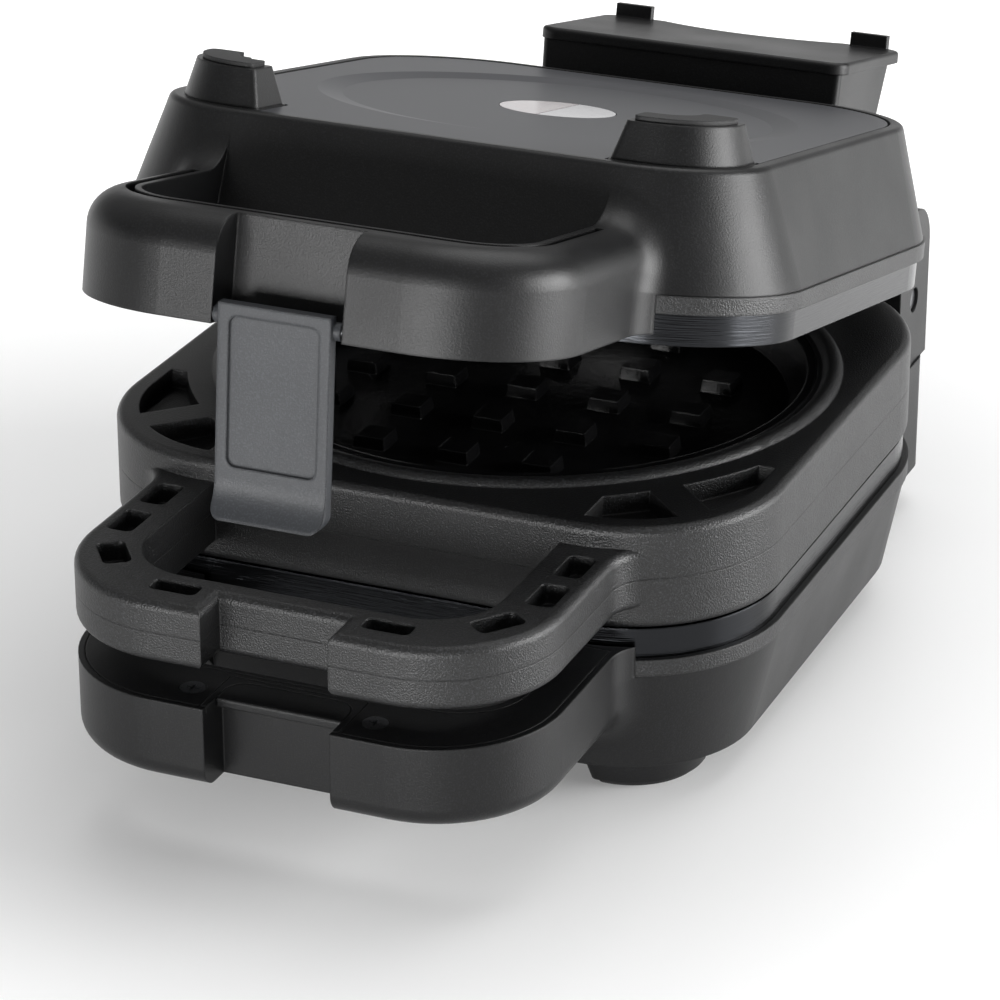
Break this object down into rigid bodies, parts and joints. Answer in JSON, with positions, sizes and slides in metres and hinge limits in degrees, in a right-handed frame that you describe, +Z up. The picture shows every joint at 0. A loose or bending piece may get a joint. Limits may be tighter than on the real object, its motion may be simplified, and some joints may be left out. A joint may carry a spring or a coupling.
{
  "type": "donut maker",
  "caption": "Double-deck round baking appliance: drafted base, folding middle tray and lid on one rear hinge, each with a loop handle, closed by a hinged front latch",
  "frame": {"origin": "on the table under the middle of the bounding box of the object as pictured, with the lid ajar", "axes": "+Z up, -Y towards the handles, +X to the right seen from the handles"},
  "size_m": [0.2028, 0.3762, 0.1919],
  "materials": {
    "satin_black_shell": "satin black moulded plastic",
    "textured_black": "fine sand texture, black",
    "coated_plate": "die-cast aluminium with a dark glossy non-stick coating",
    "grey_inlay": "dark grey fine-brushed sheet",
    "lens_heating": "translucent pale red",
    "lens_ready": "translucent pale grey",
    "rubber": "matt rubber",
    "latch_grey": "fine grain, dark grey",
    "lamp": "clear",
    "board": "moulded",
    "steel": "plain steel"
  },
  "bodies": {
    "base": {"base_bezel": "textured_black", "base_foot_front_left": "satin_black_shell", "base_foot_front_right": "satin_black_shell", "base_foot_rear_left": "satin_black_shell", "base_foot_rear_right": "satin_black_shell", "base_handle_cover": "satin_black_shell", "base_heater": "steel", "base_pad_front_left": "rubber", "base_pad_front_right": "rubber", "base_pad_rear_left": "rubber", "base_pad_rear_right": "rubber", "base_plate": "coated_plate", "base_shell": "satin_black_shell", "base_thermostat": "steel", "cord_inlet": "satin_black_shell", "cover_screws": "steel", "hinge_axle_left": "steel", "hinge_axle_right": "steel", "hinge_tower_left": "satin_black_shell", "hinge_tower_right": "satin_black_shell", "strike_plate": "satin_black_shell", "terminal_block": "board"},
    "tray": {"tray_heater": "steel", "tray_hinge_arm_left": "textured_black", "tray_hinge_arm_right": "textured_black", "tray_lower": "textured_black", "tray_lower_plate": "coated_plate", "tray_screws": "steel", "tray_upper": "textured_black", "tray_upper_plate": "coated_plate"},
    "lid": {"cord_box": "satin_black_shell", "cord_box_cover": "satin_black_shell", "lamp_board": "board", "lamp_heating": "lamp", "lamp_ready": "lamp", "latch_pin": "steel", "lens_heating": "lens_heating", "lens_ready": "lens_ready", "lid_bezel": "textured_black", "lid_foot_left": "satin_black_shell", "lid_foot_right": "satin_black_shell", "lid_heater": "steel", "lid_hinge_arm_left": "satin_black_shell", "lid_hinge_arm_right": "satin_black_shell", "lid_inlay": "grey_inlay", "lid_pad_left": "rubber", "lid_pad_right": "rubber", "lid_plate": "coated_plate", "lid_shell": "satin_black_shell", "lid_thermostat": "steel"},
    "latch": {"latch": "latch_grey"}
  },
  "joints": [
    {"name": "tray_hinge", "type": "hinge", "parent": "base", "child": "tray", "pos_m": [0, 0.122, 0.0723], "axis": [-1, 0, 0], "range_deg": [0, 35]},
    {"name": "lid_hinge", "type": "hinge", "parent": "tray", "child": "lid", "pos_m": [0, 0.122, 0.0723], "axis": [-1, 0, 0], "range_deg": [-12.65, 57]},
    {"name": "latch_hinge", "type": "hinge", "parent": "lid", "child": "latch", "pos_m": [0, -0.17386, 0.16053], "axis": [-1, 0, 0], "range_deg": [0, 70]}
  ]
}
